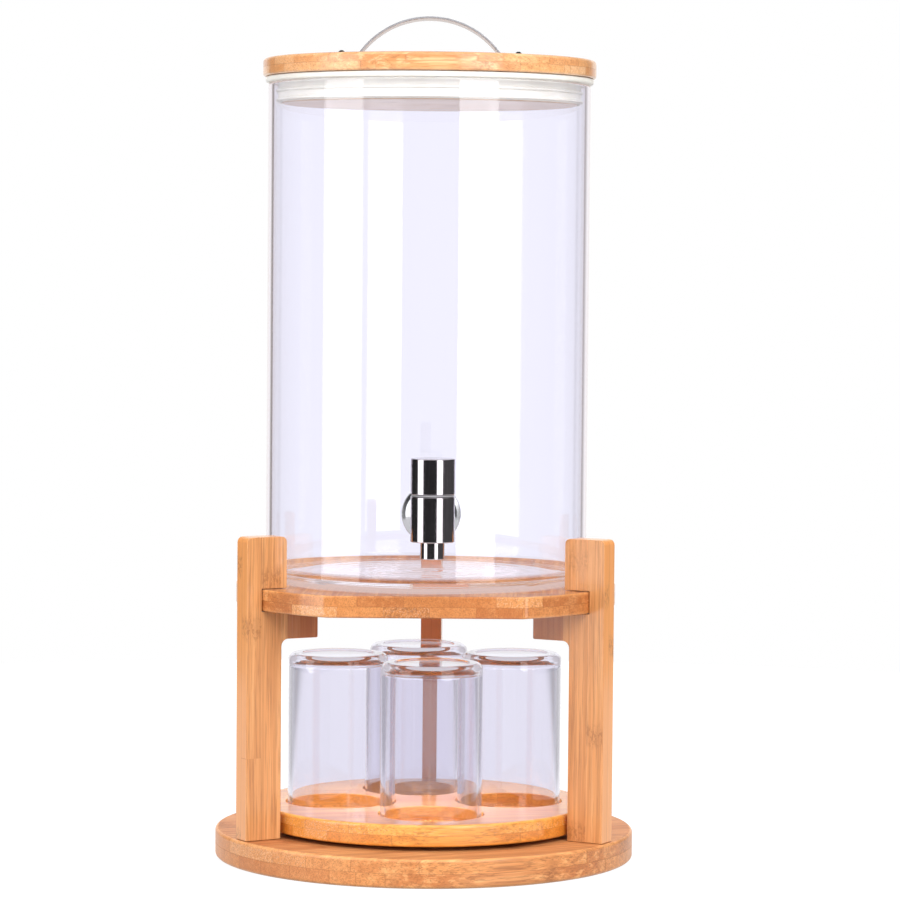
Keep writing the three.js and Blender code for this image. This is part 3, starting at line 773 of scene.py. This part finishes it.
for start, size in {
    "leg_screw": (4.0, 2.8, 1.9, 40.0, "stand"),
    "support_screw": (3.5, 2.4, 1.7, 24.0, "stand"),
    "bearing_lower_screw": (2.6, 1.8, 1.3, 8.0, "stand", True),
    "bearing_upper_screw": (2.6, 1.8, 1.3, 8.0, "turntable"),
}.items():
    for n in nodes_named(start):
        wood_screw(n, *size)

# ------------------------------------------------------------------ turntable
tray = lathe(
    "tray_board_fine",
    rounded(
        [
            (0, tray_low.z, 0),
            (TRAY_R, tray_low.z, 1.2),
            (TRAY_R, tray_high.z, 1.8),
            (0, tray_high.z, 0),
        ],
        closed=False,
    ),
    192,
)
pocket_floor = low_high("cup_front")[0].z - GAP
pocket_top = tray_high.z
pocket = [
    (0, pocket_floor), (POCKET_R - 0.4, pocket_floor), (POCKET_R, pocket_floor + 0.4),
    (POCKET_R, pocket_top - 0.7), (POCKET_R + 0.2, pocket_top - 0.25), (POCKET_R + 0.7, pocket_top),
    (POCKET_R + 0.7, pocket_top + 3), (0, pocket_top + 3),
]
pockets = [
    lathe("pocket", pocket, 128, place=turn(TRAY_TURN + quarter) @ shift(POCKET_RING, 0, 0))
    for quarter in (0, 90, 180, 270)
]
boolean(tray, pockets)
finish_piece(tray, "turntable", tray_bamboo, "tray_bamboo", "tray_board")


def bearing_ring(node, up, body):
    """A flat ring with the balls' track in the face towards the other ring."""
    low, high = low_high(node)
    inner, outer, edge = RING_INNER, RING_OUTER, 0.3
    thick = high.z - low.z
    profile = [
        (inner, edge), (inner + edge, 0), (outer - edge, 0), (outer, edge),
        (outer, thick - edge), (outer - edge, thick),
    ]
    profile += [
        (BALL_RING + 3.2 * math.cos(angle), thick - 1.9 * math.sin(angle))
        for angle in (math.pi * k / 12 for k in range(13))
    ]
    profile += [(inner + edge, thick), (inner, thick - edge)]
    place = shift(0, 0, low.z) if up else shift(0, 0, high.z) @ turn(180, "X")
    ring = lathe(node + "_fine", profile, 128, closed=True, place=place)
    finish_piece(ring, body, zinc, "zinc_steel", node)


bearing_ring("bearing_lower_ring", True, "stand")
bearing_ring("bearing_upper_ring", False, "turntable")

# ------------------------------------------------------------------ glasses
cup_low, cup_high = low_high("cup_front")
cup_tall = cup_high.z - cup_low.z
cup_inside = CUP_R - CUP_WALL
cup_ceiling = cup_tall - CUP_FLOOR
CUP = [
    (0, cup_ceiling, 0), (cup_inside, cup_ceiling, 4.2), (cup_inside, 0.0, 0.9), (CUP_R, 0.0, 1.1),
    (CUP_R, cup_tall, 4.6), (20.8, cup_tall, 0.8), (20.0, cup_tall - 0.8, 0.8), (0, cup_tall - 0.9, 0),
]
cup_profile = rounded(CUP, closed=False, steps=8)
for side in ("front", "right", "back", "left"):
    spot = centre_of("cup_" + side)
    low = low_high("cup_" + side)[0].z
    glass = lathe(f"cup_{side}_fine", cup_profile, 160, place=shift(spot.x, spot.y, low), angle=60)
    finish_piece(glass, "glass_" + side, cup_glass, "cup_glass", "cup_" + side)

# ------------------------------------------------------------------ jar
def floor_ripple(r):
    """The slight rings that pressing leaves in the middle of the jar's floor."""
    return 0.5 * math.cos(r * 0.62) * math.exp(-r / 26.0)


def jar_profile():
    height = jar_high.z - jar_low.z
    floor = JAR_FLOOR
    inside = JAR_R - JAR_WALL
    outer = rounded(
        [(0, 1.0, 0), (JAR_R - 14, 1.0, 1.0), (JAR_R - 12, 0.0, 1.0), (JAR_R, 0.0, 6.5),
         (JAR_R, height, 1.48), (inside, height, 1.48), (inside, floor, 5.0), (inside - 9, floor, 0)],
        closed=False, steps=8,
    )
    step = 0.8
    radii = [k * step for k in range(int((inside - 10) / step), 0, -1)] + [0]
    return outer + [(r, floor + floor_ripple(r)) for r in radii]


jar = lathe("glass_jar_fine", jar_profile(), 256, place=shift(0, 0, jar_low.z), angle=60)
boolean(jar, [rod(WALL_HOLE, 0, 20, 64, along_tap(-JAR_R - 10, shank_z))], angle=60)
finish_piece(jar, "jar", jar_glass, "jar_glass", "glass_jar")

# ------------------------------------------------------------------ tap
TAP_R = (knob_high.x - knob_low.x) / 2 - 0.01
NOZZLE_R = (nozzle_high.x - nozzle_low.x) / 2 / math.cos(math.radians(JAR_TURN))
upright = shift(tap_at.x, tap_at.y, 0)
lying = along_tap(tap_y, shank_z)


def tap_barrel(name, low, high, low_edge, high_edge):
    outline = [(0, low, 0), (TAP_R, low, low_edge), (TAP_R, high, high_edge), (0, high, 0)]
    return lathe(name, rounded(outline, closed=False), 128, place=upright)


def tap_sleeve(node, profile, material, slot):
    """A round piece with a bore, standing on the tap's upright axis."""
    finish_piece(lathe(node + "_fine", profile, 96, place=upright), "jar", material, slot, node)


knob = tap_barrel("tap_knob_fine", knob_low.z, knob_high.z, 0.35, 0.55)
grub = centre_of("tap_grub_screw")
boolean(
    knob,
    [
        rod(4.7, knob_low.z - 1, stem_high.z + GAP, 48, upright),
        rod(2, 2, 14, 32, along_tap(tap_y, grub.z)),
    ],
)
finish_piece(knob, "tap_valve", tap_steel, "tap_steel", "tap_knob")

grub_from, grub_to = tap_span("tap_grub_screw", 1.7)
grub_long = grub_to - grub_from
grub_piece = lathe(
    "tap_grub_screw_fine",
    [(0, 0), (1.2, 0), (1.7, 0.5), (1.7, grub_long - 0.2), (1.5, grub_long),
     (0.85, grub_long), (0.85, grub_long - 1.6), (0, grub_long - 1.9)],
    48,
    place=along_tap(grub_from, grub.z),
)
finish_piece(grub_piece, "tap_valve", black_steel, "black_screw", "tap_grub_screw")

washer_r = TAP_R - 0.35
tap_sleeve(
    "tap_body_washer",
    rounded(
        [(5.0, washer_low.z, 0.1), (washer_r, washer_low.z, 0.3), (washer_r, washer_high.z, 0.3),
         (5.0, washer_high.z, 0.1)]
    ) + [(5.0, washer_low.z + 0.1)],
    grey_silicone, "silicone",
)

neck_end = tap_span("tap_body", TAP_R, NECK_R)[1] - tap_y
shank_from, shank_to = tap_span("tap_shank", SHANK_R)
socket = shank_from - tap_y - GAP
tap_body = tap_barrel("tap_body_fine", body_low.z, body_high.z, 0.5, 0.35)
boolean(tap_body, [rod(NECK_R, 6, neck_end, 96, lying)], "UNION")
valve_floor = stem_low.z - 0.4
ledge = shank_z + 3.3  # the gland ring stands here
boolean(
    tap_body,
    [
        rod(6.3, valve_floor, ledge + 1, 48, upright),
        rod(9.0, ledge, body_high.z + 2, 48, upright),
        rod(SPIGOT_R + GAP, body_low.z - 1, valve_floor + 0.5, 48, upright),
        rod(TAP_BORE, 0, 40, 48, lying),
        rod(SHANK_HOLE, socket, 40, 48, lying),
    ],
)
finish_piece(tap_body, "jar", tap_steel, "tap_steel", "tap_body")

shoulder = body_low.z - GAP
tap_sleeve(
    "tap_nozzle",
    rounded(
        [(TAP_BORE, nozzle_low.z, 0.3), (NOZZLE_R, nozzle_low.z, 0.5), (NOZZLE_R, shoulder, 0.1),
         (SPIGOT_R, shoulder, 0.1), (SPIGOT_R, nozzle_high.z, 0.1), (TAP_BORE, nozzle_high.z, 0.1)]
    ) + [(TAP_BORE, nozzle_low.z + 0.3)],
    tap_steel, "tap_steel",
)

FLANGE_R = (flange_high.z - flange_low.z) / 2
flange_from, flange_to = tap_span("tap_escutcheon", 10.2, FLANGE_R)
deep = flange_to - flange_from
flange = lathe(
    "tap_escutcheon_fine",
    rounded(
        [(SHANK_HOLE, 0, 0.2), (10.2, 0, 0.6), (FLANGE_R - 2.2, deep - 1.9, 1.6),
         (FLANGE_R, deep - 0.9, 0.5), (FLANGE_R, deep, 0.3), (SHANK_HOLE, deep, 0.2)]
    ) + [(SHANK_HOLE, 0.2)],
    128,
    place=along_tap(flange_from, shank_z),
)
finish_piece(flange, "jar", turned_steel, "tap_steel", "tap_escutcheon")

nut_corner = 12.7
nut_from, nut_to = tap_span("tap_lock_nut", nut_corner * math.sin(math.radians(60)))
hexagon = [
    (nut_corner * math.cos(angle), nut_corner * math.sin(angle))
    for angle in (math.radians(60 * k + 30) for k in range(6))
]
nut_place = along_tap(nut_from, shank_z)
nut = prism("tap_lock_nut_fine", hexagon, 0, nut_to - nut_from, 0.5, 3, place=nut_place)
boolean(nut, [rod(SHANK_HOLE, -2, 12, 64, nut_place)])
finish_piece(nut, "jar", turned_steel, "tap_steel", "tap_lock_nut")

shank_length = shank_to - shank_from
thread = [(TAP_BORE, 0.3), (4.3, 0), (7.4, 0), (SHANK_R, 0.4)]
along = 10.0
while along < shank_length - 2.0:
    thread += [(SHANK_R, along), (7.15, along + 0.5), (SHANK_R, along + 1.0)]
    along += 1.25
thread += [
    (SHANK_R, shank_length - 0.9), (7.1, shank_length), (4.3, shank_length),
    (TAP_BORE, shank_length - 0.3), (TAP_BORE, 0.3),
]
shank = lathe("tap_shank_fine", thread, 96, place=along_tap(shank_from, shank_z), angle=25)
finish_piece(shank, "jar", turned_steel, "tap_steel", "tap_shank")

# ------------------------------------------------------------------ lid
lid = lathe(
    "lid_board_fine",
    rounded(
        [(0, lid_low.z, 0), (LID_R, lid_low.z, 1.4), (LID_R, lid_high.z, 2.2), (0, lid_high.z, 0)],
        closed=False,
    ),
    192,
)
screw_x = centre_of("lid_handle_screw_right").x
boolean(lid, [rod(1.8, -8, 1, 32, shift(side * screw_x, 0, lid_high.z)) for side in (-1, 1)])
finish_piece(lid, "lid", lid_bamboo, "bamboo", "lid_board")

PLUG_R = (plug_high.x - plug_low.x) / 2
plug = lathe(
    "lid_plug_fine",
    rounded(
        [(0, plug_low.z, 0), (PLUG_R, plug_low.z, 1.2), (PLUG_R, plug_high.z, 0.4), (0, plug_high.z, 0)],
        closed=False,
    ),
    160,
)
finish_piece(plug, "lid", plug_bamboo, "bamboo", "lid_plug")

SEAL_R = (seal_high.x - seal_low.x) / 2
SKIRT_R = 84.6
SEAL_INNER = PLUG_R + GAP
foot, top = seal_low.z, seal_high.z
seal = lathe(
    "lid_seal_fine",
    rounded(
        [
            (SEAL_INNER, foot, 0.2), (84.4, foot, 0.6), (SKIRT_R, foot + 0.4, 0.4),
            (86.6, foot + 1.1, 0.5), (SKIRT_R, foot + 2.4, 0.5), (SKIRT_R, foot + 5.4, 0.5),
            (86.4, foot + 6.1, 0.5), (SKIRT_R, foot + 7.4, 0.5), (SKIRT_R, top - 3.2, 0.6),
            (SEAL_R, top - 3.2, 1.2), (SEAL_R, top, 0.8), (SEAL_INNER, top, 0.2),
        ],
        steps=4,
    ) + [(SEAL_INNER, foot + 0.2)],
    192,
    angle=60,
)
finish_piece(seal, "lid", silicone, "silicone", "lid_seal")


def strap_line():
    """The strap's centre line in the XZ plane, from the right foot over the arch to the left foot."""
    foot = strap_low.z + STRAP_THICK / 2
    radius = 48.1
    bend = 4.0
    arch = strap_high.z - STRAP_THICK / 2 - radius
    bend_z = foot + bend
    bend_x = math.sqrt((radius + bend) ** 2 - (bend_z - arch) ** 2)
    lean = math.atan2(bend_z - arch, bend_x)
    half = [(strap_high.x, foot)]
    for k in range(13):
        angle = -math.pi / 2 - (math.pi / 2 - lean) * k / 12
        half.append((bend_x + bend * math.cos(angle), bend_z + bend * math.sin(angle)))
    for k in range(1, 33):
        angle = lean + (math.pi / 2 - lean) * k / 32
        half.append((radius * math.cos(angle), arch + radius * math.sin(angle)))
    return half + [(-x, z) for x, z in reversed(half[:-1])]


def strap_outline():
    line = strap_line()
    upper, lower = [], []
    for i, (x, z) in enumerate(line):
        before = Vector(line[max(i - 1, 0)])
        after = Vector(line[min(i + 1, len(line) - 1)])
        along = (after - before).normalized()
        side = Vector((along.y, -along.x)) * STRAP_THICK / 2
        upper.append((x + side.x, z + side.y))
        lower.append((x - side.x, z - side.y))
    return upper + list(reversed(lower))


strap_half = (strap_high.y - strap_low.y) / 2
strap = prism(
    "lid_handle_fine", strap_outline(), -strap_half, strap_half, 0.28, 2, place=turn(90, "X"), angle=40
)
strap_cuts = [rod(2.0, -1, 4, 32, shift(side * screw_x, 0, strap_low.z)) for side in (-1, 1)]
end = strap_high.x
corner_r = 4.0
for side in (-1, 1):
    # The foot's two corners are cut to a round.
    for way in (-1, 1):
        corner = [(end + 1, strap_half + 1), (end - corner_r, strap_half + 1), (end - corner_r, strap_half)]
        corner += [
            (end - corner_r + corner_r * math.sin(angle), strap_half - corner_r + corner_r * math.cos(angle))
            for angle in (math.pi / 2 * k / 8 for k in range(1, 9))
        ]
        corner += [(end + 1, strap_half - corner_r)]
        points = [(side * x, way * y) for x, y in corner]
        if side * way > 0:
            points.reverse()
        strap_cuts.append(prism("corner", points, strap_low.z - 1, strap_low.z + 3))
boolean(strap, strap_cuts, angle=40)
finish_piece(strap, "lid", strap_steel, "strap_steel", "lid_handle")

for side_name, side in (("left", -1), ("right", 1)):
    node = "lid_handle_screw_" + side_name
    low, high = low_high(node)
    dome_low = strap_low.z + 1.4
    wide = (high.x - low.x) / 2
    dome = [
        (0, low.z), (0.9, low.z + 1.2), (1.5, low.z + 2.0), (1.5, dome_low),
        (wide - 0.1, dome_low), (wide, dome_low + 0.3),
    ]
    brim = dome_low + 0.6
    for k in range(12):
        angle = math.pi / 2 * k / 12
        dome.append((wide * math.cos(angle), brim + (high.z - brim) * math.sin(angle)))
    dome.append((0, high.z))
    place = shift(side * screw_x, 0, 0)
    piece = lathe(node + "_fine", dome, 48, place=place, angle=40)
    bar = [(-1.4, -0.3), (1.4, -0.3), (1.4, 0.3), (-1.4, 0.3)]
    cross = [
        prism("cross", bar, high.z - 1.6, high.z + 1, place=place @ turn(quarter + 30 * side))
        for quarter in (0, 90)
    ]
    boolean(piece, cross, angle=40)
    finish_piece(piece, "lid", black_steel, "black_screw", node)

# ------------------------------------------------------------------ CAD pieces that keep their own shape
for n, material in {
    "bearing_ball_cage": turned_steel,
    "tap_outer_gasket": silicone,
    "tap_inner_gasket": silicone,
    "tap_gland_ring": brass,
    "tap_valve_stem": brass,
    "tap_stem_oring": nitrile,
}.items():
    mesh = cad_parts[n].data
    mesh.materials.clear()
    mesh.materials.append(material)

# ------------------------------------------------------------------ floor, light and air
FLOOR_RADIUS = 1.0
floor_mesh = bpy.data.meshes.new("floor")
floor_bm = bmesh.new()
bmesh.ops.create_circle(floor_bm, cap_ends=True, segments=128, radius=FLOOR_RADIUS)
floor_bm.to_mesh(floor_mesh)
floor_bm.free()
floor = new_object("floor", floor_mesh)
floor.location.z = -0.0002
floor_paint = Paint("studio_floor")
floor_paths = floor_paint.node("LightPath").outputs
bounced, refracted = floor_paths["Is Diffuse Ray"], floor_paths["Is Transmission Ray"]
# Seen through glass, the floor is painted a darker lavender and dims towards its sides: painted shade that
# draws the thin dark lines at the glasses' edges.
floor_x, floor_y, _ = floor_paint.separate(floor_paint.place())
painted_dark_sides = floor_paint.span(floor_paint.math("ABSOLUTE", floor_x), 150.0, 250.0, 0.0, 0.5)
painted_dark_sides = floor_paint.math("MULTIPLY", painted_dark_sides, floor_paint.span(floor_y, 150.0, 300.0))
dimmed = floor_paint.math("MULTIPLY", refracted, painted_dark_sides)
floor_paint.set(
    Base_Color=floor_paint.mix(refracted, (0.12, 0.12, 0.12), (0.02, 0.02, 0.02)),
    Roughness=0.75,
    Specular_IOR_Level=0.1,
    Emission_Color=floor_paint.mix(refracted, (1.0, 1.0, 1.0), (0.92, 0.91, 1.0)),
    Emission_Strength=floor_paint.math(
        "SUBTRACT", floor_paint.math("MULTIPLY_ADD", bounced, -0.70, 0.93), dimmed
    ),
)
floor_mesh.materials.append(floor_paint.material)


def softbox(name, azimuth, distance, width, height, middle, power, aim_high=None):
    """A soft light at this azimuth from the front, facing the object's axis."""
    light = bpy.data.lights.new(name, "AREA")
    light.shape = "RECTANGLE"
    light.size = width
    light.size_y = height
    light.energy = power
    lamp = bpy.data.objects.new(name, light)
    scene.collection.objects.link(lamp)
    angle = math.radians(azimuth)
    lamp.location = (math.sin(angle) * distance, -math.cos(angle) * distance, middle)
    aim = Vector((0, 0, middle if aim_high is None else aim_high)) - lamp.location
    lamp.rotation_euler = aim.to_track_quat("-Z", "Y").to_euler()
    lamp.visible_camera = False
    return lamp


softbox("softbox_left", -62.0, 1.25, 0.69, 1.5, 0.72, 9.5)
softbox("softbox_right", 34.5, 1.25, 0.62, 1.5, 0.72, 9.5)
for lamp in (
    softbox("softbox_front", 6.0, 1.3, 1.4, 0.9, 1.15, 18.0, aim_high=0.12),
    softbox("softbox_back", 180.0, 1.5, 2.2, 0.9, 0.75, 26.0, aim_high=0.1),
):
    lamp.visible_glossy = False
    lamp.visible_transmission = False


def hidden_disc(name, size, power, height, spread, up=False):
    """A weak round lamp on the axis that lights matt surfaces only, and can't itself be seen."""
    light = bpy.data.lights.new(name, "AREA")
    light.shape = "DISK"
    light.size = size
    light.energy = power
    light.spread = math.radians(spread)
    lamp = new_object(name, light)
    lamp.location = (0.0, 0.0, height * MM)
    if up:
        lamp.rotation_euler = (math.pi, 0.0, 0.0)
    lamp.visible_camera = lamp.visible_glossy = lamp.visible_transmission = False


# The light that the glasses gather on the tray, and that the jar leads up to the plug.
hidden_disc("gathered_low", 0.14, 0.15, board_low.z - 18.0, 76.0)
hidden_disc("gathered_high", 0.15, 0.04, plug_low.z - 80.0, 180.0, up=True)

world = bpy.data.worlds.new("studio")
world.use_nodes = True
scene.world = world
air = world.node_tree
air.nodes.clear()


def air_node(kind, inputs=None, **settings):
    made = air.nodes.new("ShaderNode" + kind)
    for key, value in settings.items():
        setattr(made, key, value)
    for key, value in (inputs or {}).items():
        if isinstance(value, bpy.types.NodeSocket):
            air.links.new(value, made.inputs[key])
        else:
            made.inputs[key].default_value = value
    return made


paths = air_node("LightPath").outputs
direction = air_node("TexCoord").outputs["Generated"]
sides = air_node("SeparateXYZ", {0: direction}).outputs


def fade(value, low, high, to_low, to_high):
    return air_node(
        "MapRange",
        {"Value": value, "From Min": low, "From Max": high, "To Min": to_low, "To Max": to_high},
        interpolation_type="SMOOTHSTEP",
    ).outputs["Result"]


# The room in front is dark, the backdrop and the ceiling are bright.
behind = fade(sides["Y"], 0.80, 0.93, 0.03, 1.0)
above = fade(sides["Z"], 0.45, 0.75, 0.0, 0.8)
beside = fade(sides["X"], 0.5, 0.87, 0.0, 0.1)
strength = air_node("Math", {0: behind, 1: above}, operation="MAXIMUM").outputs[0]
strength = air_node("Math", {0: strength, 1: beside}, operation="MAXIMUM").outputs[0]
shiny = air_node("Background", {"Color": (1.0, 1.0, 1.0, 1.0), "Strength": strength}).outputs[0]
dull = air_node("Background", {"Color": (1.0, 0.99, 0.98, 1.0), "Strength": 0.6}).outputs[0]
seen = air_node("Background", {"Color": (1.0, 1.0, 1.0, 1.0), "Strength": 1.0}).outputs[0]
# Two upright dark strips of the room at the backdrop's sides draw the dark lines along the jar's edges.
left_edge = fade(sides["X"], -0.43, -0.34, 0.15, 1.0)
right_edge = fade(sides["X"], 0.34, 0.43, 1.0, 0.45)
through = air_node("Math", {0: left_edge, 1: right_edge}, operation="MULTIPLY").outputs[0]
off_side = air_node("Math", {0: sides["X"]}, operation="ABSOLUTE").outputs[0]
for beyond in (fade(off_side, 0.46, 0.52, 0.0, 0.97), fade(sides["Y"], 0.5, 0.65, 0.97, 0.0)):
    through = air_node("Math", {0: through, 1: beyond}, operation="MAXIMUM").outputs[0]
glassy = air_node("Background", {"Color": (0.99, 0.985, 1.09, 1.0), "Strength": through}).outputs[0]
mixed = air_node("MixShader", {0: paths["Is Glossy Ray"], 1: dull, 2: shiny}).outputs[0]
mixed = air_node("MixShader", {0: paths["Is Transmission Ray"], 1: mixed, 2: glassy}).outputs[0]
final = air_node("MixShader", {0: paths["Is Camera Ray"], 1: mixed, 2: seen}).outputs[0]
air_node("OutputWorld", {"Surface": final})

scene.view_settings.view_transform = "Standard"
scene.view_settings.look = "None"
